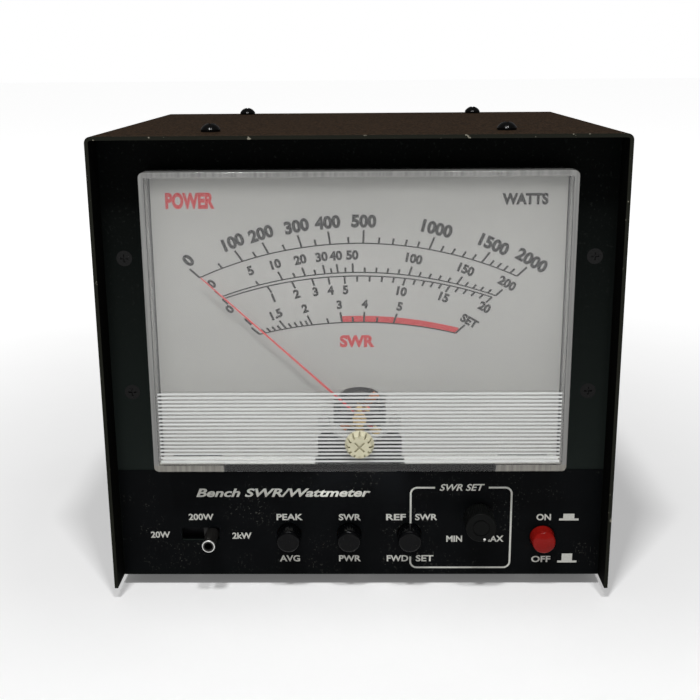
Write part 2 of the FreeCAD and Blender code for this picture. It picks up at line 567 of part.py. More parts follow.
def lamp_diffusers():
    """Two thin translucent strips on the window's floor that throw the lamps' light up the dial."""
    return [side_box(side, DIFFUSER_INNER, DIFFUSER_OUTER, METER_FACE + WINDOW_WALL + 0.4, DIAL_FACE - 0.1,
                     WINDOW_FLOOR, WINDOW_FLOOR + DIFFUSER_SHEET) for side in (-1, 1)]


def lamps():
    """Two small tubular bulbs in the pockets behind the dial's slots."""
    bulbs = []
    for side in (-1, 1):
        middle = side * LAMP_X
        bulb = rod_x(DIAL_BACK + 1.05, WINDOW_FLOOR + 2.4, 1.0, middle - LAMP_HALF, middle + LAMP_HALF)
        bulbs.append(bulb.makeFillet(0.6, bulb.Edges))
    return bulbs


def meter_brackets():
    """The plates behind the panel that the flat-head screws hold, clamping the meter's bosses."""
    back = PANEL_BACK + BRACKET_SHEET
    brackets = []
    for side in (-1, 1):
        low = BRACKET_SCREW_HEIGHTS[0] - 7
        high = BRACKET_SCREW_HEIGHTS[1] + 7
        plate = box(min(side * 84, side * 98), max(side * 84, side * 98), PANEL_BACK, back, low, high)
        arms = [box(min(side * 66, side * 85), max(side * 66, side * 85), PANEL_BACK, back, z - 5, z + 5)
                for z in (68.0, 157.0)]
        spine = box(min(side * 79, side * 85), max(side * 79, side * 85), PANEL_BACK, back, 63, 162)
        rib = box(min(side * 97, side * 98), max(side * 97, side * 98), PANEL_BACK, back + 9, low, high)
        holes = [rod_y(side * BRACKET_X, z, THREAD_RADIUS, PANEL_BACK - 1, back + 1)
                 for z in BRACKET_SCREW_HEIGHTS]
        holes += [rod_y(side * 71, z, CLEAR_RADIUS, PANEL_BACK - 1, back + 1) for z in (68.0, 157.0)]
        brackets.append(without(joined([plate, spine, rib] + arms), holes))
    return brackets


def bracket_screw(x, z):
    """A flat-head cross-recess screw, flush with the front panel."""
    head = Part.makeCone(3.1, SCREW_RADIUS, 1.2, Vector(x, PANEL_FACE - 0.02, z), Vector(0, 1, 0))
    shank = rod_y(x, z, SCREW_RADIUS, PANEL_FACE + 1.18, PANEL_FACE + 7)
    slot = cross_slot(x, z, PANEL_FACE - 1, PANEL_FACE + 0.7, 3.2, 0.7)
    return without(joined([head, shank]), [slot])


def meter_terminals():
    """The two brass terminal studs in the back wall of the tub."""
    studs = []
    for side in (-1, 1):
        stud = rod_y(side * 14, 80.0, 2.0, TUB_BACK - 4, TUB_BACK + 9)
        inside = rod_y(side * 14, 80.0, 3.2, TUB_BACK - 4, TUB_BACK - 2)
        studs.append(joined([stud, inside]))
    return studs


def hex_nut(x, z, across, bore, y0, y1):
    corner = across / math.sqrt(3)
    ring = []
    for step in range(7):
        angle = math.radians(60 * step)
        ring.append(Vector(x + corner * math.cos(angle), y0, z + corner * math.sin(angle)))
    nut = Part.Face(Part.makePolygon(ring)).extrude(Vector(0, y1 - y0, 0))
    return nut.cut(rod_y(x, z, bore, y0 - 1, y1 + 1))


# ---- Controls ----
def range_switch_body():
    """The slide switch housing: a block with an open channel for the carriage."""
    block = box(SLOT_CENTRE_X - 13.5, SLOT_CENTRE_X + 13.5, PANEL_BACK + 0.3, BOARD_FRONT, 12.6, 24.6)
    reach = CARRIAGE_HALF + 0.2
    left = 2 * SLOT_CENTRE_X - LEVER_REST_X - reach
    channel = box(left, LEVER_REST_X + reach, PANEL_BACK, 20.0, CONTROL_HEIGHT - CHANNEL_HALF,
                  CONTROL_HEIGHT + CHANNEL_HALF)
    return block.cut(channel)


def range_lever():
    """The range lever: a hollow round stem on a carriage that slides behind the panel."""
    stem = rod_y(LEVER_REST_X, CONTROL_HEIGHT, LEVER_RADIUS, LEVER_TIP, 15.5)
    stem = stem.makeFillet(0.35, [edge for edge in stem.Edges if edge.BoundBox.YMax < LEVER_TIP + 0.1])
    carriage = box(LEVER_REST_X - CARRIAGE_HALF, LEVER_REST_X + CARRIAGE_HALF, 15.4, 19.8,
                   CONTROL_HEIGHT - CHANNEL_HALF + FIT, CONTROL_HEIGHT + CHANNEL_HALF - FIT)
    hollow = rod_y(LEVER_REST_X, CONTROL_HEIGHT, 1.65, LEVER_TIP - 1, 9)
    return without(joined([stem, carriage]), [hollow])


def push_switch_body(x, height):
    block = box(x - 5, x + 5, SWITCH_FRONT, BOARD_FRONT, height - 5, height + 5)
    half = PLUNGER_HALF + FIT
    bore = box(x - half, x + half, SWITCH_FRONT - 1, BOARD_FRONT - 0.6, height - half, height + half)
    return block.cut(bore)


def square_rod(x, height, y0, y1):
    return box(x - PLUNGER_HALF, x + PLUNGER_HALF, y0, y1, height - PLUNGER_HALF, height + PLUNGER_HALF)


def plunger(x, height):
    """The square stem that slides in a push switch and carries the button's cap."""
    return square_rod(x, height, PLUNGER_TIP, 26.0)


def black_button(x):
    """A round black cap with a flat, softly rounded face."""
    cap = rod_y(x, CONTROL_HEIGHT, BUTTON_RADIUS, BUTTON_FACE, BUTTON_TAIL)
    cap = cap.makeFillet(1.3, [edge for edge in cap.Edges if edge.BoundBox.YMax < BUTTON_FACE + 0.1])
    return cap.cut(square_rod(x, CONTROL_HEIGHT, PLUNGER_TIP, BUTTON_TAIL + 1))


def power_button():
    """The red power cap: a slightly tapered drum with a domed end and a rounded shoulder."""
    shoulder = POWER_FACE + POWER_DOME
    taper_end = PANEL_FACE - 0.4
    taper = Part.makeCone(POWER_NOSE, POWER_RADIUS, taper_end - shoulder,
                          Vector(POWER_X, shoulder, POWER_HEIGHT), Vector(0, 1, 0))
    drum = rod_y(POWER_X, POWER_HEIGHT, POWER_RADIUS, taper_end, BUTTON_TAIL)
    ball = (POWER_NOSE ** 2 + POWER_DOME ** 2) / (2 * POWER_DOME)
    dome = Part.makeSphere(ball, Vector(POWER_X, POWER_FACE + ball, POWER_HEIGHT))
    dome = dome.common(rod_y(POWER_X, POWER_HEIGHT, POWER_NOSE, POWER_FACE - 1, shoulder))
    cap = joined([dome, taper, drum])
    rim = []
    for edge in cap.Edges:
        place = edge.BoundBox
        if abs(place.YMin - shoulder) < 0.05 and place.YLength < 0.05 and place.XLength > 1:
            rim.append(edge)
    return cap.makeFillet(1.1, rim).cut(square_rod(POWER_X, POWER_HEIGHT, PLUNGER_TIP, BUTTON_TAIL + 1))


def pot_body():
    """The round potentiometer behind the panel, with a bush for its shaft."""
    drum = rod_y(KNOB_X, KNOB_HEIGHT, 8.4, 17.0, BOARD_FRONT)
    bush = rod_y(KNOB_X, KNOB_HEIGHT, 4.6, PANEL_BACK, 17.0)
    bore = rod_y(KNOB_X, KNOB_HEIGHT, SHAFT_RADIUS + FIT, PANEL_FACE, BOARD_FRONT - 2)
    return joined([drum, bush]).cut(bore)


def pot_shaft():
    return rod_y(KNOB_X, KNOB_HEIGHT, SHAFT_RADIUS, 4.0, BOARD_FRONT - 2.5)


def knob():
    """The fluted knob, with a raised rim round a plain disc on its face."""
    body = rod_y(KNOB_X, KNOB_HEIGHT, KNOB_RADIUS, KNOB_FACE, 11.9)
    body = body.makeFillet(0.5, [edge for edge in body.Edges if edge.BoundBox.YMax < KNOB_FACE + 0.1])
    flutes = []
    for index in range(24):
        angle = math.radians(index * 15)
        reach = KNOB_RADIUS + 0.28
        flutes.append(rod_y(KNOB_X + reach * math.sin(angle), KNOB_HEIGHT + reach * math.cos(angle), 0.5,
                            KNOB_FACE + 1.0, 11.9))
    recess = tube_y(KNOB_X, KNOB_HEIGHT, 3.6, 3.1, KNOB_FACE - 1, KNOB_FACE + 0.35)
    bore = rod_y(KNOB_X, KNOB_HEIGHT, SHAFT_RADIUS, 4.0, 13)
    return without(body, flutes + [recess, bore])


def standoff_places():
    return corners(82.5, (8.5, 42.0))


def control_board():
    board = box(-BOARD_HALF, BOARD_HALF, BOARD_FRONT, BOARD_FRONT + BOARD_SHEET, 4.5, 46.0)
    holes = [rod_y(x, z, CLEAR_RADIUS, BOARD_FRONT - 1, BOARD_FRONT + 3) for x, z in standoff_places()]
    return without(board, holes)


def standoff(x, z):
    """A hexagonal spacer from the panel's back to the control board."""
    return hex_nut(x, z, 5.0, THREAD_RADIUS, PANEL_BACK, BOARD_FRONT)


# ---- Rear: sockets, coupler, supply jack ----
def socket_screw_places():
    return [(side * SOCKET_X + dx * SOCKET_SCREW, SOCKET_HEIGHT + dz * SOCKET_SCREW)
            for side in (-1, 1) for dx in (-1, 1) for dz in (-1, 1)]


def socket_body(x):
    """A coaxial socket's metal body: square flange, threaded barrel and rear tube."""
    half = 12.7
    flange = box(x - half, x + half, REAR_FACE, REAR_FACE + 1.6, SOCKET_HEIGHT - half, SOCKET_HEIGHT + half)
    flange = rounded(flange, 1.5, Vector(0, 1, 0))
    barrel = rod_y(x, SOCKET_HEIGHT, SOCKET_THREAD, REAR_FACE, REAR_FACE + SOCKET_REACH)
    tail = rod_y(x, SOCKET_HEIGHT, 7.0, REAR_FACE - 12, REAR_FACE)
    bore = rod_y(x, SOCKET_HEIGHT, 5.5, REAR_FACE - 13, REAR_FACE + SOCKET_REACH + 1)
    mouth = rod_y(x, SOCKET_HEIGHT, 6.3, REAR_FACE + 7, REAR_FACE + SOCKET_REACH + 1)
    cutters = [bore, mouth]
    cutters += [rod_y(hx, hz, CLEAR_RADIUS, REAR_FACE - 1, REAR_FACE + 3) for hx, hz in socket_screw_places()
                if abs(hx - x) < 2 * SOCKET_SCREW]
    return without(joined([flange, barrel, tail]), cutters)


def socket_insulator(x):
    disc = rod_y(x, SOCKET_HEIGHT, 5.5, REAR_FACE - 12, REAR_FACE + 7)
    nose = rod_y(x, SOCKET_HEIGHT, 3.9, REAR_FACE + 7, REAR_FACE + 14)
    return joined([disc, nose]).cut(rod_y(x, SOCKET_HEIGHT, 2.7, REAR_FACE - 13, REAR_FACE + 15))


def socket_contact(x):
    stem = rod_y(x, SOCKET_HEIGHT, 2.7, LINE_DEPTH + 2, REAR_FACE + 14)
    return stem.cut(rod_y(x, SOCKET_HEIGHT, 2.0, REAR_FACE + 2, REAR_FACE + 15))


def socket_screws():
    return [pan_screw(Vector(x, REAR_FACE + 1.6, z), Vector(0, -1, 0)) for x, z in socket_screw_places()]


def socket_nuts():
    return [hex_nut(x, z, 5.5, THREAD_RADIUS, REAR_INNER - 0.6 - 2.2, REAR_INNER - 0.6)
            for x, z in socket_screw_places()]


def coupler_box():
    """The soldered tinplate box of the directional coupler, against the rear panel."""
    outer = box(-COUPLER_HALF, COUPLER_HALF, COUPLER_FRONT, REAR_INNER, COUPLER_LOW, COUPLER_HIGH)
    inner = box(-COUPLER_HALF + 0.6, COUPLER_HALF - 0.6, COUPLER_FRONT - 1, REAR_INNER - 0.6,
                COUPLER_LOW + 0.6, COUPLER_HIGH - 0.6)
    cutters = [inner]
    cutters += [rod_y(side * SOCKET_X, SOCKET_HEIGHT, 7.1, REAR_INNER - 2, REAR_INNER + 1)
                for side in (-1, 1)]
    cutters += [rod_y(x, z, CLEAR_RADIUS, REAR_INNER - 2, REAR_INNER + 1) for x, z in socket_screw_places()]
    return without(outer, cutters)


def coupler_lid():
    plate = box(-COUPLER_HALF - 0.6, COUPLER_HALF + 0.6, COUPLER_FRONT - 0.6, COUPLER_FRONT + 6,
                COUPLER_LOW - 0.6, COUPLER_HIGH + 0.6)
    inside = box(-COUPLER_HALF, COUPLER_HALF, COUPLER_FRONT, COUPLER_FRONT + 7, COUPLER_LOW, COUPLER_HIGH)
    return plate.cut(inside)


def coupler_line():
    """The through line between the two sockets' contacts, with a thick sleeve inside the ferrite ring."""
    line = rod_x(LINE_DEPTH, SOCKET_HEIGHT, 2.0, -SOCKET_X - 3, SOCKET_X + 3)
    return joined([line, rod_x(LINE_DEPTH, SOCKET_HEIGHT, 4.8, -12, 12)])


def coupler_toroid():
    """The ferrite ring of the current transformer, around the through line."""
    ring = rod_x(LINE_DEPTH, SOCKET_HEIGHT, 10.0, -4, 4)
    return ring.cut(rod_x(LINE_DEPTH, SOCKET_HEIGHT, 5.5, -5, 5))


def toroid_winding():
    """The sense winding: separate loops of enamelled wire spaced round the ferrite ring."""
    loops = []
    for index in range(14):
        loop = box(-4.7, 4.7, LINE_DEPTH - 0.3, LINE_DEPTH + 0.3, SOCKET_HEIGHT + 4.82, SOCKET_HEIGHT + 10.7)
        loop = loop.cut(coupler_toroid())
        loop.rotate(Vector(0, LINE_DEPTH, SOCKET_HEIGHT), Vector(1, 0, 0), index * 24 - 156)
        loops.append(loop)
    return loops


def supply_jack():
    """The round supply jack: outer flange, threaded body, bore and centre pin."""
    flange = rod_y(JACK_X, JACK_HEIGHT, 5.4, REAR_FACE, REAR_FACE + 1.6)
    body = rod_y(JACK_X, JACK_HEIGHT, 4.0, REAR_FACE - 12, REAR_FACE)
    bore = rod_y(JACK_X, JACK_HEIGHT, 2.8, REAR_FACE - 9, REAR_FACE + 2)
    pin = rod_y(JACK_X, JACK_HEIGHT, 1.05, REAR_FACE - 10, REAR_FACE + 0.6)
    return joined([joined([flange, body]).cut(bore), pin])


def write_case():
    write("cover", bent_cover())
    write("front_panel", folded_front_panel())
    write("chassis_tray", folded_tray())
    write("panel_overlay", overlay_strip())
    write("cover_screws", *[domed_screw(x, y) for x, y in corners(COVER_SCREW_X, COVER_SCREW_DEPTHS)])
    write("rubber_feet", *[rubber_foot(x, y) for x, y in corners(FOOT_X, FOOT_DEPTHS)])
    write("machine_screws", *machine_screws())


def write_meter():
    write("meter_window", ribbed_window())
    write("meter_base", meter_base())
    write("dial_plate", dial_plate())
    write("dial_screws", *[dial_screw(side * DIAL_SCREW_X) for side in (-1, 1)])
    write("movement_bridge", movement_bridge())
    write("jewel_screws", jewel_screw(BRIDGE_FACE - 1.8, 1), jewel_screw(YOKE_BACK + 6.8, -1))
    write("movement_frame", movement_frame())
    write("yoke_ring", tube_y(0, PIVOT_HEIGHT, YOKE_OUTER, YOKE_INNER, YOKE_FRONT, YOKE_BACK))
    write("magnet_core", rod_y(0, PIVOT_HEIGHT, CORE_RADIUS, YOKE_FRONT + 0.5, YOKE_BACK - 0.5))
    write("core_support", core_support())
    write("rear_bridge", rear_bridge())
    write("moving_coil", moving_coil())
    write("spindles", *spindles())
    write("pointer", pointer())
    write("balance_weights", *balance_weights())
    write("hairsprings", hairspring(BRIDGE_FACE + 1.55, 0.64, 5.6), hairspring(COIL_BACK + 0.4, 0.64, 5.6))
    write("zero_adjuster", zero_adjuster())
    write("zero_arm", zero_arm())
    write("lamp_diffusers", *lamp_diffusers())
    write("lamps", *lamps())
    write("meter_brackets", *meter_brackets())
    write("bracket_screws", *[bracket_screw(x, z) for x, z in corners(BRACKET_X, BRACKET_SCREW_HEIGHTS)])
    write("meter_terminals", *meter_terminals())
    write("terminal_nuts", *[hex_nut(side * 14, 80.0, 7.0, 2.05, TUB_BACK, TUB_BACK + 3) for side in (-1, 1)])


def write_controls():
    write("range_switch_body", range_switch_body())
    write("range_lever", range_lever())
    switches = [push_switch_body(x, CONTROL_HEIGHT) for x in BUTTON_X.values()]
    switches.append(push_switch_body(POWER_X, POWER_HEIGHT))
    write("push_switch_bodies", *switches)
    for name, x in BUTTON_X.items():
        write(name + "_plunger", plunger(x, CONTROL_HEIGHT))
        write(name + "_button", black_button(x))
    write("power_plunger", plunger(POWER_X, POWER_HEIGHT))
    write("power_button", power_button())
    write("pot_body", pot_body())
    write("pot_shaft", pot_shaft())
    write("knob", knob())
    write("control_board", control_board())
    write("board_standoffs", *[standoff(x, z) for x, z in standoff_places()])


def write_rear():
    write("socket_bodies", *[socket_body(side * SOCKET_X) for side in (-1, 1)])
    write("socket_insulators", *[socket_insulator(side * SOCKET_X) for side in (-1, 1)])
    write("socket_contacts", *[socket_contact(side * SOCKET_X) for side in (-1, 1)])
    write("socket_screws", *socket_screws())
    write("socket_nuts", *socket_nuts())
    write("coupler_box", coupler_box())
    write("coupler_lid", coupler_lid())
    write("coupler_line", coupler_line())
    write("coupler_toroid", coupler_toroid())
    write("toroid_winding", *toroid_winding())
    write("supply_jack", supply_jack())
    write("supply_jack_nut", hex_nut(JACK_X, JACK_HEIGHT, 11.0, 4.0, REAR_INNER - 2.4, REAR_INNER))


def main():
    os.makedirs("parts", exist_ok=True)
    write_case()
    write_meter()
    write_controls()
    write_rear()


main()
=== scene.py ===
"""Looks of the bench SWR and power meter: finishes, dial and panel printing, light and camera."""
import json
import math

import bmesh
import bpy
from mathutils import Matrix, Vector


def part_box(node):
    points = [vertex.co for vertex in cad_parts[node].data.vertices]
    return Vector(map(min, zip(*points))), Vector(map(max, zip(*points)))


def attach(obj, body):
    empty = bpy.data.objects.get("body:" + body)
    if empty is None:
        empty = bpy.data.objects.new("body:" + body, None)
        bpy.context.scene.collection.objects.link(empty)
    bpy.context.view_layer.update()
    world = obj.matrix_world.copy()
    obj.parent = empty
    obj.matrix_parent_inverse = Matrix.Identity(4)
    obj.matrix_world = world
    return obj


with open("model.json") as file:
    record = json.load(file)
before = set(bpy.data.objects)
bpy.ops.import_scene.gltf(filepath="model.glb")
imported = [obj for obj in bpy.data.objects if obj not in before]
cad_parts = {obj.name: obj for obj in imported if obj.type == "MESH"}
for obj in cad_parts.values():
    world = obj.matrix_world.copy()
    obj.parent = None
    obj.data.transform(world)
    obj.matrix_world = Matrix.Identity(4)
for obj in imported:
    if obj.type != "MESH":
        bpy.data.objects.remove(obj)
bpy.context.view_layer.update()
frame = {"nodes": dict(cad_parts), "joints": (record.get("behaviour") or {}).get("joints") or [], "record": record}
MM = 0.001

# ---- Places read from the CAD, in metres ----
CASE_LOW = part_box("cover")[0]
BASE = CASE_LOW.z                                  # heights in the tables below count from here
PANEL_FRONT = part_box("panel_overlay")[0].y
DIAL_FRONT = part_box("dial_plate")[0].y
WINDOW_LOW, WINDOW_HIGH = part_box("meter_window")
WINDOW_RIGHT = WINDOW_HIGH.x
LEVER_LOW, LEVER_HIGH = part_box("range_lever")
KNOB_LOW, KNOB_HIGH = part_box("knob")
NEEDLE_JOINT = next(joint for joint in frame["joints"] if joint["name"] == "needle_swing")
PIVOT_HEIGHT = (NEEDLE_JOINT["pos_m"][2] - BASE) / MM

# ---- The clear window, in metres ----
WINDOW_WALL = 2.05 * MM
WINDOW_BOTTOM_WALL = 2.8 * MM
WALL_BLUR = 0.02 * MM        # a wall's painted glow ends over this distance
TAN_START = 54.1 * MM        # the bottom wall is painted tan further out than this, for lamp light seen through it, and clear between
TAN_FULL = 54.3 * MM
RIB_FOOT = 55.3              # heights of the ribbed band, in millimetres above the case's underside
RIB_HEAD = 84.85
RIB_BLUR = 0.05              # millimetres

# ---- Printing, in millimetres ----
PRINT_PROUD = 0.04           # the ink stands this far off its surface
UNDER_PRINT = 0.02           # the same, for a colour that is printed before the black
PRINT_X = -0.3               # the dial print sits a little left of the pivot
TICK_WIDTH = 0.78
ARC_WIDTH = 0.50
BOLD = 0.052                 # how much the dial lettering is thickened, in units of its size
TILT_SHARE = 0.62            # labels lean by this share of their own angle
END_TILT = 46.0              # the labels at the left end of each scale lean more
ARC_STEPS = 90

# Each scale: arc centre height and radius, the labelled values with their needle angles from upright,
# the unlabelled values, and the sizes of ticks and labels. "label_gap" is from the arc to the label's middle,
# and "label_turn" is the share of its mark's angle that a label stands at, left and right of upright.
# "short" lists labelled values whose ticks are as short as the unlabelled ones.
SCALES = {
    "high_power": {
        "centre": -9.0, "radius": 150.9, "side": 1, "major": 5.1, "minor": 2.5,
        "cap": 5.0, "label_gap": 8.6, "label_turn": (0.97, 0.99),
        "angles": {0: -47.6, 100: -35.5, 200: -27.8, 300: -17.7, 400: -8.8, 500: 1.7, 1000: 22.3, 1500: 37.7,
                   2000: 47.5},
        "minors": [50, 150, 250, 350, 450, 600, 700, 800, 900, 1100, 1200, 1300, 1400, 1600, 1700, 1800,
                   1900]},
    "middle_power": {
        "centre": -25.9, "radius": 156.4, "side": 1, "major": 3.6, "minor": 2.0, "short": [5],
        "cap": 3.7, "label_gap": 6.85, "label_turn": (0.98, 0.99),
        "angles": {0: -47.6, 5: -36.0, 10: -28.0, 20: -19.9, 30: -12.6, 40: -7.7, 50: -2.0, 100: 19.1,
                   150: 35.7, 200: 47.7},
        "minors": [15, 25, 35, 45, 60, 70, 80, 90, 110, 120, 130, 140, 160, 170, 180, 190]},
    "low_power": {
        "centre": -32.4, "radius": 161.5, "side": -1, "major": 3.0, "minor": 2.2,
        "cap": 3.6, "label_gap": 5.4, "label_turn": (1.02, 1.02),
        "angles": {0: -48.1, 1: -33.9, 2: -25.3, 3: -17.9, 4: -11.7, 5: -5.4, 10: 18.2, 15: 34.1, 20: 47.3},
        "minors": [6, 7, 8, 9, 11, 12, 13, 14, 16, 17, 18, 19]},
    "standing_wave": {
        "centre": -51.1, "radius": 161.7, "side": 1, "major": 4.2, "minor": 2.2,
        "cap": 3.5, "label_gap": 7.3, "label_turn": (0.98, 1.0),
        "angles": {1: -49.3, 1.5: -38.5, 2: -26.0, 3: -9.5, 4: 3.2, 5: 20.0, 6: 48.5},
        "minors": [1.1, 1.2, 1.3, 1.4, 1.6, 1.7, 1.8, 1.9, 2.5, 3.5, 4.5]},
}
SET_VALUE = 6                # the standing-wave scale's last mark is lettered SET
SET_TICK = 5.0
BAND_START = 3               # the red band runs from this standing-wave ratio to the SET mark
BAND_HEIGHT = 2.6

# Words on the control strip: text, x, height above the case's underside, width
PANEL_WORDS = [
    ("200W", -66.4, 26.4, 10.4), ("20W", -83.8, 18.4, 8.1), ("2kW", -49.6, 17.9, 8.1),
    ("PEAK", -29.4, 26.3, 11.0), ("AVG", -29.7, 7.5, 8.5),
    ("SWR", -4.3, 26.2, 9.2), ("PWR", -4.4, 7.5, 9.2),
    ("REF", 14.9, 26.2, 8.2), ("SWR", 27.5, 26.2, 9.2), ("FWD", 15.6, 7.5, 9.0), ("SET", 27.0, 7.5, 7.4),
    ("MIN", 39.3, 16.4, 6.6), ("MAX", 55.7, 16.4, 8.4),
    ("ON", 76.3, 26.1, 6.0), ("OFF", 75.8, 7.1, 8.0),
]
PANEL_CAP = 2.8
ITALIC = 0.28
FRAME_LINE = 0.75
FRAME_CORNER = 2.7
FRAME_LEFT, FRAME_RIGHT = 21.0, 62.7
FRAME_LOW, FRAME_HIGH = 3.3, 39.3
FRAME_TITLE_GAP = (31.0, 53.2)        # the top line breaks for the frame's title
FRAME_SIDE_GAP = (8.3, 21.7)          # the left line breaks for the button that it passes
SYMBOL_LEFT, SYMBOL_RIGHT = 82.7, 90.8
SYMBOL_CENTRE = 86.7
SYMBOL_FOOT = 0.9
SYMBOLS = ((24.6, 27.6, 2.3), (5.5, 9.6, 2.2))    # foot height, top height, half width: button in, button out
DOT_TURN = 163.5             # degrees clockwise from upright
DOT_REACH = 5.2
DOT_RADIUS = 0.5
DOT_SIDES = 20


# ---- Finishes ----
class Finish:
    """A material under construction: a Principled shader and the nodes that vary it over the surface."""

    def __init__(self, name, **sockets):
        self.material = bpy.data.materials.new(name)
        self.material.use_nodes = True
        self.tree = self.material.node_tree
        self.shader = self.tree.nodes["Principled BSDF"]
        places = self.tree.nodes.new("ShaderNodeTexCoord")
        self.place = places.outputs["Object"]
        self.x, self.y, self.z = self.split(self.place)
        self.facing = self.split(places.outputs["Normal"])
        for socket, value in sockets.items():
            self.shader.inputs[socket.replace("_", " ")].default_value = value

    def feed(self, socket, value):
        """Links an output into a socket, or sets the socket to a plain value."""
        if isinstance(value, bpy.types.NodeSocket):
            self.tree.links.new(value, socket)
        elif isinstance(value, tuple) and len(value) == 3 and socket.type == "RGBA":
            socket.default_value = (*value, 1.0)
        else:
            socket.default_value = value

    def split(self, vector):
        node = self.tree.nodes.new("ShaderNodeSeparateXYZ")
        self.tree.links.new(vector, node.inputs[0])
        return node.outputs[0], node.outputs[1], node.outputs[2]

    def noise(self, size, detail=2.0, stretch=(1.0, 1.0, 1.0)):
        """Smooth noise whose spots are about size millimetres across, drawn out along an axis by stretch."""
        mapping = self.tree.nodes.new("ShaderNodeMapping")
        mapping.inputs["Scale"].default_value = [1.0 / (size * MM * part) for part in stretch]
        self.tree.links.new(self.place, mapping.inputs["Vector"])
        node = self.tree.nodes.new("ShaderNodeTexNoise")
        node.inputs["Scale"].default_value = 1.0
        node.inputs["Detail"].default_value = detail
        self.tree.links.new(mapping.outputs["Vector"], node.inputs["Vector"])
        return node.outputs["Fac"]

    def spots(self, size):
        """Distance from the nearest of many scattered points, in spacings of about size millimetres."""
        node = self.tree.nodes.new("ShaderNodeTexVoronoi")
        node.inputs["Scale"].default_value = 1.0 / (size * MM)
        self.tree.links.new(self.place, node.inputs["Vector"])
        return node.outputs["Distance"]

    def ramp(self, value, low, high, start=0.0, end=1.0):
        """start where value is at low, end where it is at high, held beyond both."""
        node = self.tree.nodes.new("ShaderNodeMapRange")
        for index, given in enumerate((value, low, high, start, end)):
            self.feed(node.inputs[index], given)
        return node.outputs[0]

    def calc(self, operation, first, second=0.0):
        node = self.tree.nodes.new("ShaderNodeMath")
        node.operation = operation
        self.feed(node.inputs[0], first)
        self.feed(node.inputs[1], second)
        return node.outputs[0]

    def blend(self, share, first, second):
        """A colour between two, by share."""
        node = self.tree.nodes.new("ShaderNodeMix")
        node.data_type = "RGBA"
        self.feed(node.inputs["Factor"], share)
        self.feed(node.inputs[6], first)
        self.feed(node.inputs[7], second)
        return node.outputs[2]

    def bump(self, height, depth, strength=1.0):
        """Adds relief of depth millimetres."""
        node = self.tree.nodes.new("ShaderNodeBump")
        node.inputs["Strength"].default_value = strength
        node.inputs["Distance"].default_value = depth * MM
        self.feed(node.inputs["Height"], height)
        socket = self.shader.inputs["Normal"]
        if socket.links:
            self.tree.links.new(socket.links[0].from_socket, node.inputs["Normal"])
        self.tree.links.new(node.outputs["Normal"], socket)

    def colour(self, value):
        self.feed(self.shader.inputs["Base Color"], value)

    def roughness(self, value):
        self.feed(self.shader.inputs["Roughness"], value)


def shade(colour, factor):
    return tuple(min(1.0, part * factor) for part in colour)


def plastic(name, colour, roughness, specular=0.2):
    """Moulded plastic: faint mottling, a fine grain and a few dull patches."""
    made = Finish(name, Specular_IOR_Level=specular)
    mottle = made.noise(6.0, 3.0)
    made.colour(made.blend(mottle, shade(colour, 0.78), shade(colour, 1.2)))
    made.roughness(made.ramp(made.noise(2.5, 4.0), 0.3, 0.7, roughness - 0.07, roughness + 0.1))
    made.bump(made.noise(0.5), 0.01)
    return made


def metal(name, colour, roughness):
    """Bare or plated metal: brushing along one axis and cloudy tarnish."""
    made = Finish(name, Metallic=1.0)
    cloud = made.ramp(made.noise(5.0, 4.0), 0.35, 0.65)
    made.colour(made.blend(cloud, shade(colour, 0.72), colour))
    streaks = made.noise(0.3, 2.0, (1.0, 8.0, 1.0))
    made.roughness(made.ramp(streaks, 0.3, 0.7, roughness - 0.08, roughness + 0.12))
    made.bump(streaks, 0.006)
    return made


def paint(name, colour, roughness, specular):
    """Baked satin paint with a fine orange-peel texture."""
    made = Finish(name, Specular_IOR_Level=specular)
    patches = made.noise(22.0, 4.0)
    made.colour(made.blend(patches, shade(colour, 0.75), shade(colour, 1.3)))
    made.roughness(made.ramp(made.noise(0.9, 3.0), 0.3, 0.7, roughness - 0.06, roughness + 0.1))
    made.bump(made.noise(0.55, 3.0), 0.03)
    return made


def cover_paint(name):
    """Satin black with a painted brown sheen on top, a grazing reflection put into the colour, and nicks down to
    bare metal along the front edge.
    """
    made = Finish(name, Specular_IOR_Level=0.02)
    black = made.blend(made.noise(20.0, 4.0), (0.0012, 0.0012, 0.0011), (0.0030, 0.0030, 0.0026))
    # The brown on top is painted sheen: a grazing reflection of the room put into the colour, flecked by the
    # paint's texture.
    fleck = made.ramp(made.noise(0.9, 4.0), 0.40, 0.62)
    brown = made.blend(fleck, (0.0105, 0.0068, 0.0042), (0.044, 0.026, 0.0145))
    top_sheen = made.ramp(made.facing[2], 0.55, 0.95)
    coat = made.blend(top_sheen, black, brown)
    edge = made.ramp(made.y, CASE_LOW.y + 0.7 * MM, CASE_LOW.y + 0.2 * MM)
    rubbed = made.blend(made.calc("MULTIPLY", edge, 0.6), coat, (0.020, 0.021, 0.016))
    chips = made.ramp(made.noise(2.6, 5.0), 0.675, 0.70)
    made.colour(made.blend(made.calc("MULTIPLY", edge, chips), rubbed, (0.20, 0.19, 0.15)))
    made.roughness(made.ramp(made.noise(0.7, 3.0), 0.3, 0.7, 0.60, 0.78))
    made.bump(made.noise(0.55, 3.0), 0.035)
    return made


def panel_paint(name):
    """The front panel's flat black, faintly green, darker towards the top by painted shade for the cover's shadow,
    with patches of dust.
    """
    made = Finish(name, Specular_IOR_Level=0.025)
    # Darker towards the top: painted shade standing in for the cover's shadow.
    low = made.ramp(made.z, BASE + 165 * MM, BASE + 60 * MM)
    coat = made.blend(low, (0.0018, 0.0023, 0.0021), (0.0110, 0.0145, 0.0130))
    dust = made.ramp(made.noise(1.2, 4.0), 0.6, 0.75)
    made.colour(made.blend(dust, coat, (0.011, 0.0125, 0.0115)))
    made.roughness(made.ramp(made.noise(0.8, 3.0), 0.3, 0.7, 0.55, 0.72))
    made.bump(made.noise(0.6, 3.0), 0.025)
    return made


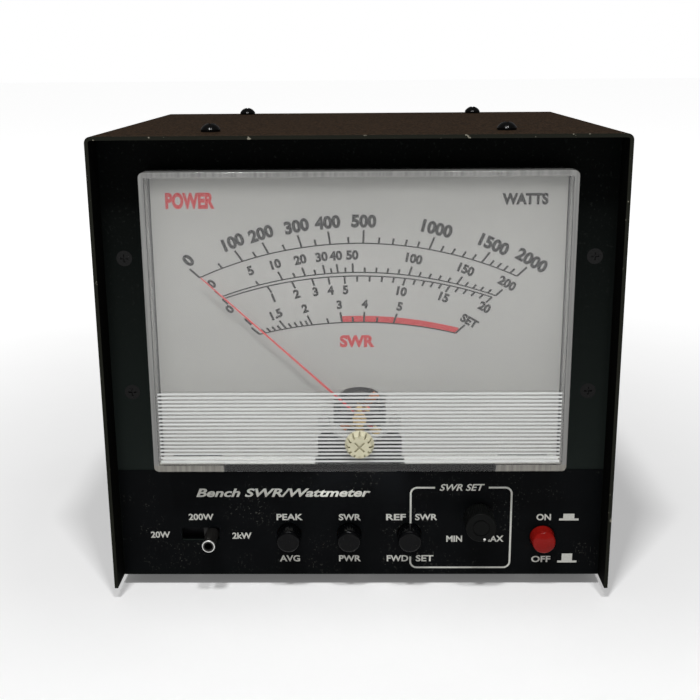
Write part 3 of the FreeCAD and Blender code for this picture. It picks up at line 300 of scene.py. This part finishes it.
def printed_overlay(name):
    """The control strip: dark satin film with dust specks, clustered scuffs and fine scratches."""
    made = Finish(name, Specular_IOR_Level=0.025)
    film = made.blend(made.noise(16.0, 4.0), (0.0018, 0.0021, 0.0024), (0.0038, 0.0044, 0.0050))
    clusters = made.ramp(made.noise(15.0, 3.0), 0.50, 0.66)
    specks = made.ramp(made.spots(1.7), 0.17, 0.08)
    scuffs = made.ramp(made.noise(1.3, 5.0), 0.60, 0.72)
    scratches = made.ramp(made.noise(0.35, 1.0, (1.0, 1.0, 14.0)), 0.70, 0.78)
    lines = made.calc("MAXIMUM", scuffs, scratches)
    marks = made.calc("MULTIPLY", made.calc("MAXIMUM", specks, lines), clusters)
    made.colour(made.blend(made.calc("MULTIPLY", marks, 0.45), film, (0.12, 0.12, 0.105)))
    made.roughness(made.ramp(marks, 0.0, 1.0, 0.45, 0.75))
    made.bump(made.noise(0.5, 2.0), 0.012)
    return made


def clear_window(name):
    """Clear acrylic with painted light: white rib crests stand in for the light the ribs refract, pale streaky
    walls for the glow at the acrylic's edges, and tan ends to the bottom wall for lamp light seen through it.
    """
    made = Finish(name, IOR=1.49, Specular_IOR_Level=0.2)
    across = made.calc("ABSOLUTE", made.x)
    face = WINDOW_LOW.y
    above = made.ramp(made.z, BASE + RIB_FOOT * MM, BASE + (RIB_FOOT + RIB_BLUR) * MM)
    below = made.ramp(made.z, BASE + RIB_HEAD * MM, BASE + (RIB_HEAD - RIB_BLUR) * MM)
    inside = made.ramp(across, WINDOW_RIGHT - 2.9 * MM, WINDOW_RIGHT - 3.1 * MM)
    at_face = made.ramp(made.y, face + 0.12 * MM, face + 0.06 * MM)
    banded = made.calc("MULTIPLY", above, below)
    crest = made.calc("MULTIPLY", banded, made.calc("MULTIPLY", inside, at_face))
    # The rib crests are painted highlight: white and less clear where the ribs refract and reflect bright light.
    uneven = made.ramp(made.noise(1.0, 3.0, (30.0, 1.0, 1.0)), 0.3, 0.7, 0.80, 0.95)
    crest_glow = made.calc("MULTIPLY", crest, uneven)
    # The walls are painted glow: pale and streaky for the light that the acrylic carries to its edges.
    side_inner = WINDOW_RIGHT - WINDOW_WALL
    top_inner = WINDOW_HIGH.z - WINDOW_WALL
    bottom_inner = WINDOW_LOW.z + WINDOW_BOTTOM_WALL
    side_wall = made.ramp(across, side_inner - WALL_BLUR, side_inner)
    top_wall = made.ramp(made.z, top_inner - WALL_BLUR, top_inner)
    bottom_wall = made.ramp(made.z, bottom_inner + WALL_BLUR, bottom_inner)
    bottom_end = made.calc("MULTIPLY", bottom_wall, made.ramp(across, TAN_START, TAN_FULL))
    wall = made.calc("MAXIMUM", made.calc("MAXIMUM", side_wall, top_wall), bottom_end)
    streaks = made.ramp(made.noise(1.2, 3.0, (1.0, 1.0, 60.0)), 0.35, 0.65, 0.55, 0.80)
    painted_glow = made.calc("MAXIMUM", crest_glow, made.calc("MULTIPLY", wall, streaks))
    made.feed(made.shader.inputs["Transmission Weight"], made.calc("SUBTRACT", 1.0, painted_glow))
    # Tan on the bottom wall's ends is painted lamp light seen through the acrylic.
    tan = made.blend(bottom_end, (0.29, 0.29, 0.28), (0.29, 0.28, 0.25))
    tinted = made.blend(wall, (0.66, 0.67, 0.66), tan)
    made.colour(made.blend(made.ramp(painted_glow, 0.0, 0.1), (0.97, 0.975, 0.97), tinted))
    made.roughness(made.ramp(made.noise(9.0, 4.0), 0.45, 0.8, 0.015, 0.08))
    made.bump(made.noise(14.0, 2.0), 0.01, 0.3)
    return made


def dial_paint(name):
    """Off-white enamel with a little mottling."""
    made = Finish(name, Specular_IOR_Level=0.15)
    made.colour(made.blend(made.noise(30.0, 5.0), (0.285, 0.282, 0.268), (0.316, 0.313, 0.298)))
    made.roughness(made.ramp(made.noise(1.5, 3.0), 0.3, 0.7, 0.5, 0.65))
    made.bump(made.noise(0.8), 0.006)
    return made


def ink(name, colour, roughness=0.55):
    """Screen-printed ink, slightly thin in places."""
    made = Finish(name, Specular_IOR_Level=0.05)
    made.colour(made.blend(made.ramp(made.noise(0.7, 4.0), 0.35, 0.65), shade(colour, 0.85), colour))
    made.roughness(made.ramp(made.noise(1.0), 0.3, 0.7, roughness - 0.08, roughness + 0.08))
    made.bump(made.noise(0.3), 0.004)
    return made


def black_lever(name):
    """Black oxide on a steel tube, with a bright metallic ring round the tip's outer edge."""
    made = Finish(name, Specular_IOR_Level=0.3)
    across = made.calc("SUBTRACT", made.x, (LEVER_LOW.x + LEVER_HIGH.x) / 2)
    upright = made.calc("SUBTRACT", made.z, (LEVER_LOW.z + LEVER_HIGH.z) / 2)
    reach = made.calc("SQRT", made.calc("ADD", made.calc("MULTIPLY", across, across),
                                        made.calc("MULTIPLY", upright, upright)))
    # A bright, part-metallic ring round the tip's outer edge.
    tip = made.ramp(made.y, LEVER_LOW.y + 0.26 * MM, LEVER_LOW.y + 0.18 * MM)
    rim = made.calc("MULTIPLY", tip, made.ramp(reach, 2.15 * MM, 2.3 * MM))
    bright_ring = made.calc("MULTIPLY", rim, made.ramp(made.noise(0.6, 3.0), 0.3, 0.5, 0.75, 1.0))
    made.colour(made.blend(bright_ring, (0.010, 0.0095, 0.009), (0.70, 0.70, 0.68)))
    made.feed(made.shader.inputs["Metallic"], made.calc("MULTIPLY", bright_ring, 0.6))
    made.roughness(made.ramp(made.noise(0.8), 0.3, 0.7, 0.28, 0.42))
    made.bump(made.noise(0.3), 0.005)
    return made


def gloss_cap(name, colour, roughness):
    """A shiny push-button cap with fine scuffs."""
    made = Finish(name, Specular_IOR_Level=0.08, Coat_Weight=0.06, Coat_Roughness=0.10)
    made.colour(made.blend(made.noise(4.0, 4.0), shade(colour, 0.8), shade(colour, 1.15)))
    scuffs = made.ramp(made.noise(0.4, 2.0, (6.0, 1.0, 1.0)), 0.6, 0.75)
    made.roughness(made.ramp(scuffs, 0.0, 1.0, roughness, roughness + 0.25))
    made.bump(made.noise(3.0, 2.0), 0.02, 0.5)
    return made


def bulb_glass(name):
    """Thin clear glass, slightly yellowed."""
    made = Finish(name, IOR=1.5, Transmission_Weight=0.85)
    made.colour(made.blend(made.noise(3.0), (0.95, 0.93, 0.86), (0.85, 0.82, 0.72)))
    made.roughness(made.ramp(made.noise(1.5), 0.3, 0.7, 0.02, 0.08))
    return made


SPECIAL_FINISHES = {
    "cover_paint": cover_paint, "panel_paint": panel_paint, "printed_overlay": printed_overlay,
    "clear_window": clear_window, "dial_paint": dial_paint, "black_lever": black_lever,
    "bulb_glass": bulb_glass,
}
PLASTICS = {
    "foot_rubber": ((0.014, 0.014, 0.014), 0.75), "black_moulding": ((0.010, 0.010, 0.012), 0.42),
    "cream_nylon": ((0.56, 0.53, 0.38), 0.42), "beige_diffuser": ((0.40, 0.40, 0.385), 0.45),
    "switch_moulding": ((0.022, 0.022, 0.026), 0.45), "plunger_plastic": ((0.55, 0.55, 0.52), 0.45),
    "knob_plastic": ((0.0035, 0.0038, 0.0036), 0.40, 0.06), "board_laminate": ((0.36, 0.20, 0.08), 0.50),
    "socket_insulation": ((0.72, 0.69, 0.60), 0.45), "coax_sleeve": ((0.72, 0.70, 0.64), 0.45),
    "ferrite": ((0.035, 0.035, 0.037), 0.60), "jack_plastic": ((0.012, 0.012, 0.012), 0.42),
    "needle_red": ((0.50, 0.030, 0.035), 0.45),
}
METALS = {
    "zinc_steel": ((0.56, 0.55, 0.52), 0.36), "nickel_screw": ((0.42, 0.41, 0.39), 0.24),
    "blackened_bridge": ((0.045, 0.042, 0.040), 0.42), "turned_brass": ((0.66, 0.46, 0.20), 0.30),
    "cast_lugs": ((0.52, 0.51, 0.49), 0.45), "soft_iron": ((0.36, 0.35, 0.34), 0.48),
    "cast_magnet": ((0.20, 0.20, 0.20), 0.55), "enamelled_copper": ((0.55, 0.20, 0.08), 0.30),
    "pivot_steel": ((0.62, 0.62, 0.62), 0.22), "spring_bronze": ((0.60, 0.38, 0.18), 0.34),
    "pot_alloy": ((0.52, 0.52, 0.50), 0.40), "shaft_alloy": ((0.58, 0.58, 0.57), 0.32),
    "nickel_brass": ((0.62, 0.59, 0.50), 0.32), "nickel_plate": ((0.66, 0.64, 0.59), 0.26),
    "tinplate": ((0.55, 0.56, 0.57), 0.38),
}


def finish_for(slot):
    """The finish for one of the record's material slots."""
    if slot in SPECIAL_FINISHES:
        return SPECIAL_FINISHES[slot](slot)
    if slot == "tray_paint":
        return paint(slot, (0.0060, 0.0058, 0.0055), 0.55, 0.25)
    if slot == "black_screw":
        return gloss_cap(slot, (0.0022, 0.0022, 0.0022), 0.2)
    if slot == "black_button":
        return gloss_cap(slot, (0.0010, 0.0011, 0.0014), 0.18)
    if slot == "red_button":
        return gloss_cap(slot, (0.225, 0.007, 0.005), 0.18)
    if slot in PLASTICS:
        return plastic(slot, *PLASTICS[slot])
    return metal(slot, *METALS[slot])


def finish_cad_nodes():
    """Gives every CAD node the finish its record entry names; the clear window lets light straight in."""
    made = {}
    for part in frame["record"]["subparts"]:
        slot = part["material_slot"]
        if slot not in made:
            made[slot] = finish_for(slot).material
        for holder in frame["nodes"][part["node"]].material_slots:
            holder.material = made[slot]
    frame["nodes"]["meter_window"].visible_shadow = False


# ---- Printing ----
class Print:
    """Flat printing on a surface that faces forwards, gathered into one mesh."""

    def __init__(self, name, surface_y, proud=PRINT_PROUD):
        self.name = name
        self.y = surface_y - proud * MM
        self.mesh = bmesh.new()

    def corner(self, x, height):
        return self.mesh.verts.new((x * MM, self.y, BASE + height * MM))

    def patch(self, outline):
        """A filled outline, given anticlockwise as seen from the front."""
        self.mesh.faces.new([self.corner(x, height) for x, height in outline])

    def line(self, path, width):
        """A line of even width along a path of points, mitred where it turns."""
        left, right = [], []
        for index, (x, height) in enumerate(path):
            before = path[max(index - 1, 0)]
            after = path[min(index + 1, len(path) - 1)]
            along = Vector((after[0] - before[0], after[1] - before[1])).normalized()
            left.append(self.corner(x - along.y * width / 2, height + along.x * width / 2))
            right.append(self.corner(x + along.y * width / 2, height - along.x * width / 2))
        for index in range(len(path) - 1):
            self.mesh.faces.new([right[index], right[index + 1], left[index + 1], left[index]])

    def words(self, text, x, height, cap, width=None, tilt=0.0, weight=BOLD, slant=0.0):
        """Lettering centred on a point; cap is the capitals' height and tilt turns it clockwise."""
        mesh = lettering(text, weight, slant)
        low = min(vertex.co.x for vertex in mesh.vertices)
        high = max(vertex.co.x for vertex in mesh.vertices)
        tall = cap / (CAPITAL + 2 * weight)
        wide = width / (high - low) if width else tall
        centre = Matrix.Translation((-(low + high) / 2, -CAPITAL / 2, 0))
        sized = Matrix.Diagonal((wide * MM, tall * MM, 1, 1))
        turned = Matrix.Rotation(-math.radians(tilt), 4, "Z")
        upright = Matrix.Rotation(math.radians(90), 4, "X")
        placed = Matrix.Translation((x * MM, self.y, BASE + height * MM))
        mesh.transform(placed @ upright @ turned @ sized @ centre)
        self.mesh.from_mesh(mesh)
        bpy.data.meshes.remove(mesh)

    def finish(self, made, body="case"):
        """Makes the gathered mesh a piece that rides on a body."""
        mesh = bpy.data.meshes.new(self.name)
        self.mesh.to_mesh(mesh)
        self.mesh.free()
        mesh.materials.append(made.material)
        piece = bpy.data.objects.new(self.name, mesh)
        bpy.context.scene.collection.objects.link(piece)
        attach(piece, body)


def lettering(text, weight, slant):
    """Text in the built-in font at size one, as a flat mesh with its baseline at zero."""
    curve = bpy.data.curves.new("lettering", "FONT")
    curve.body = text
    curve.offset = weight
    curve.shear = slant
    curve.resolution_u = 4
    holder = bpy.data.objects.new("lettering", curve)
    mesh = bpy.data.meshes.new_from_object(holder)
    bpy.data.objects.remove(holder)
    bpy.data.curves.remove(curve)
    return mesh


def capital_height():
    """How tall a capital is in the built-in font, at size one."""
    mesh = lettering("H", 0.0, 0.0)
    height = max(vertex.co.y for vertex in mesh.vertices)
    bpy.data.meshes.remove(mesh)
    return height


CAPITAL = capital_height()


def scale_point(scale, angle, beyond=0.0):
    """Where the needle's ray at an angle from upright crosses a scale's arc, or a distance beyond it."""
    turn = math.radians(angle)
    drop = PIVOT_HEIGHT - scale["centre"]
    reach = math.sqrt(scale["radius"] ** 2 - (drop * math.sin(turn)) ** 2) - drop * math.cos(turn) + beyond
    return PRINT_X + reach * math.sin(turn), PIVOT_HEIGHT + reach * math.cos(turn)


def needle_angle(scale, value):
    """The angle of a value on a scale: a smooth curve through the labelled values."""
    known = sorted(scale["angles"])
    above = max(1, next(index for index, mark in enumerate(known) if mark >= value))
    first, second = known[above - 1], known[above]
    slopes = []
    for centre in (above - 1, above):
        low = known[max(centre - 1, 0)]
        high = known[min(centre + 1, len(known) - 1)]
        slopes.append((scale["angles"][high] - scale["angles"][low]) / (high - low))
    span = second - first
    share = (value - first) / span
    start = scale["angles"][first] * (1 + 2 * share) * (1 - share) ** 2
    end = scale["angles"][second] * share ** 2 * (3 - 2 * share)
    rise = slopes[0] * span * share * (1 - share) ** 2
    fall = slopes[1] * span * share ** 2 * (share - 1)
    return start + end + rise + fall


def arc_path(scale, first, last, beyond=0.0):
    """Points along a scale's arc between two needle angles, or along its parallel a distance beyond."""
    turns = [first + (last - first) * index / ARC_STEPS for index in range(ARC_STEPS + 1)]
    return [scale_point(scale, turn, beyond) for turn in turns]


def tick(ink_print, scale, angle, length):
    """A mark from the arc towards the side where the scale's labels are."""
    ink_print.line([scale_point(scale, angle), scale_point(scale, angle, scale["side"] * length)], TICK_WIDTH)


def dial_scales():
    """The four scales in black: arcs, ticks and numerals."""
    black = Print("dial_scales", DIAL_FRONT)
    for name, scale in SCALES.items():
        angles = scale["angles"]
        ends = (min(angles.values()), max(angles.values()))
        black.line(arc_path(scale, *ends), ARC_WIDTH)
        for value, angle in angles.items():
            if not (name == "standing_wave" and value in (1, SET_VALUE)):
                short = value in scale.get("short", [])
                tick(black, scale, angle, scale["minor"] if short else scale["major"])
            label = "SET" if value == SET_VALUE and name == "standing_wave" else "%g" % value
            tilt = -END_TILT if value == min(angles) else angle * TILT_SHARE
            turn = scale["label_turn"][0 if angle < 0 else 1]
            spot = scale_point(scale, angle * turn, scale["side"] * scale["label_gap"])
            black.words(label, spot[0], spot[1], scale["cap"], tilt=tilt)
        for value in scale["minors"]:
            tick(black, scale, needle_angle(scale, value), scale["minor"])
    wave = SCALES["standing_wave"]
    tick(black, wave, wave["angles"][1], wave["major"])
    tick(black, wave, wave["angles"][SET_VALUE], SET_TICK)
    black.words("WATTS", 63.6, 158.7, 4.4, width=17.6)
    black.finish(ink("black_ink", (0.005, 0.005, 0.005)))


def dial_red():
    """The red print: the band of high ratios and the red words."""
    red = Print("dial_red_print", DIAL_FRONT, UNDER_PRINT)
    wave = SCALES["standing_wave"]
    first, last = wave["angles"][BAND_START], wave["angles"][SET_VALUE]
    red.line(arc_path(wave, first, last, BAND_HEIGHT / 2), BAND_HEIGHT)
    red.words("SWR", -0.8, 102.9, 4.9, width=13.7)
    red.words("POWER", -64.6, 158.6, 6.2, width=18.8)
    red.finish(ink("red_ink", (0.42, 0.025, 0.030)))


def rounded_turn(centre_x, centre_height, radius, first, last, steps=8):
    """Points round part of a circle, angles in degrees anticlockwise from the right."""
    points = []
    for index in range(steps + 1):
        angle = math.radians(first + (last - first) * index / steps)
        points.append((centre_x + radius * math.cos(angle), centre_height + radius * math.sin(angle)))
    return points


def panel_print():
    """The white print on the control strip: words, the frame round the knob and the two push symbols."""
    white = Print("panel_print", PANEL_FRONT)
    for text, x, height, width in PANEL_WORDS:
        white.words(text, x, height, PANEL_CAP, width=width, weight=0.026)
    white.words("Bench SWR/Wattmeter", -31.8, 37.2, 3.7, width=72.4, weight=0.028, slant=ITALIC)
    white.words("SWR SET", 42.2, 39.4, 2.9, width=18.6, weight=0.018, slant=ITALIC)
    radius = FRAME_CORNER
    left, right, low, high = FRAME_LEFT, FRAME_RIGHT, FRAME_LOW, FRAME_HIGH
    side_low, side_high = FRAME_SIDE_GAP
    title_start, title_end = FRAME_TITLE_GAP
    top_left = rounded_turn(left + radius, high - radius, radius, 90, 180)
    bottom_left = rounded_turn(left + radius, low + radius, radius, 180, 270)
    bottom_right = rounded_turn(right - radius, low + radius, radius, 270, 360)
    top_right = rounded_turn(right - radius, high - radius, radius, 0, 90)
    white.line([(title_start, high)] + top_left + [(left, side_high)], FRAME_LINE)
    white.line([(left, side_low)] + bottom_left + bottom_right + top_right + [(title_end, high)], FRAME_LINE)
    for foot, top, half in SYMBOLS:
        step = foot + SYMBOL_FOOT
        inner, outer = SYMBOL_CENTRE - half, SYMBOL_CENTRE + half
        white.patch([(SYMBOL_LEFT, foot), (SYMBOL_RIGHT, foot), (SYMBOL_RIGHT, step), (SYMBOL_LEFT, step)])
        white.patch([(inner, step), (outer, step), (outer, top), (inner, top)])
    white.finish(ink("white_ink", (0.56, 0.56, 0.52)))


def knob_dot():
    """The white dot near the knob's rim that points to the setting."""
    centre = (KNOB_LOW + KNOB_HIGH) / 2
    turn = math.radians(DOT_TURN)
    x = centre.x / MM + DOT_REACH * math.sin(turn)
    height = (centre.z - BASE) / MM + DOT_REACH * math.cos(turn)
    dot = Print("knob_dot", KNOB_LOW.y)
    dot.patch(rounded_turn(x, height, DOT_RADIUS, 0, 360, DOT_SIDES)[:-1])
    dot.finish(ink("dot_paint", (0.85, 0.85, 0.82), 0.4), "setting_knob")


# ---- Studio ----
def floor():
    """A pale floor that glows a little away from the case, so that it fades into the backdrop."""
    mesh = bpy.data.meshes.new("floor")
    reach = 12.0
    mesh.from_pydata([(-reach, -reach, 0), (reach, -reach, 0), (reach, reach, 0), (-reach, reach, 0)], [],
                     [(0, 1, 2, 3)])
    plane = bpy.data.objects.new("floor", mesh)
    bpy.context.scene.collection.objects.link(plane)
    made = Finish("pale_floor", Specular_IOR_Level=0.1)
    made.colour(made.blend(made.noise(60.0, 4.0), (0.84, 0.84, 0.84), (0.88, 0.88, 0.88)))
    made.roughness(made.ramp(made.noise(20.0), 0.0, 1.0, 0.6, 0.8))
    x_squared = made.calc("MULTIPLY", made.x, made.x)
    y_squared = made.calc("MULTIPLY", made.y, made.y)
    away = made.calc("SQRT", made.calc("ADD", x_squared, y_squared))
    glow = made.ramp(away, 0.16, 0.75, 0.12, 0.80)
    made.shader.inputs["Emission Color"].default_value = (1.0, 1.0, 1.0, 1.0)
    made.feed(made.shader.inputs["Emission Strength"], glow)
    mesh.materials.append(made.material)


def area_light(name, place, aim, side, power):
    """A square white lamp that faces a point."""
    data = bpy.data.lights.new(name, "AREA")
    data.shape = "SQUARE"
    data.size = side
    data.energy = power
    lamp = bpy.data.objects.new(name, data)
    lamp.location = place
    lamp.rotation_euler = (Vector(aim) - Vector(place)).to_track_quat("-Z", "Y").to_euler()
    bpy.context.scene.collection.objects.link(lamp)


def studio_light():
    """A white backdrop that lights less than it shows, and two lamps high in front."""
    world = bpy.data.worlds.new("studio")
    world.use_nodes = True
    tree = world.node_tree
    sky = tree.nodes["Background"]
    sky.inputs["Color"].default_value = (1.0, 1.0, 1.0, 1.0)
    seen = tree.nodes.new("ShaderNodeMapRange")
    seen.inputs["To Min"].default_value = 0.20
    seen.inputs["To Max"].default_value = 1.0
    tree.links.new(tree.nodes.new("ShaderNodeLightPath").outputs["Is Camera Ray"], seen.inputs["Value"])
    tree.links.new(seen.outputs["Result"], sky.inputs["Strength"])
    bpy.context.scene.world = world
    middle = (0.0, -0.08, 0.12)
    area_light("lamp_left", (-0.22, -0.72, 1.50), middle, 0.16, 12.0)
    area_light("lamp_right", (0.20, -0.70, 1.50), middle, 0.12, 8.0)
    bpy.context.scene.view_settings.view_transform = "Standard"


def camera():
    """A camera low in front of the case, looking slightly down."""
    data = bpy.data.cameras.new("camera")
    data.sensor_width = 36.0
    data.lens = 55.59
    data.clip_start = 0.02
    data.clip_end = 60.0
    holder = bpy.data.objects.new("camera", data)
    heading = Matrix.Rotation(math.radians(0.837), 4, "Z")
    pitch = Matrix.Rotation(math.radians(75.005), 4, "X")
    roll = Matrix.Rotation(math.radians(-0.419), 4, "Z")
    holder.matrix_world = Matrix.Translation((0.00237, -0.49760, 0.21505)) @ heading @ pitch @ roll
    bpy.context.scene.collection.objects.link(holder)
    bpy.context.scene.camera = holder


camera()
finish_cad_nodes()
dial_scales()
dial_red()
panel_print()
knob_dot()
floor()
studio_light()
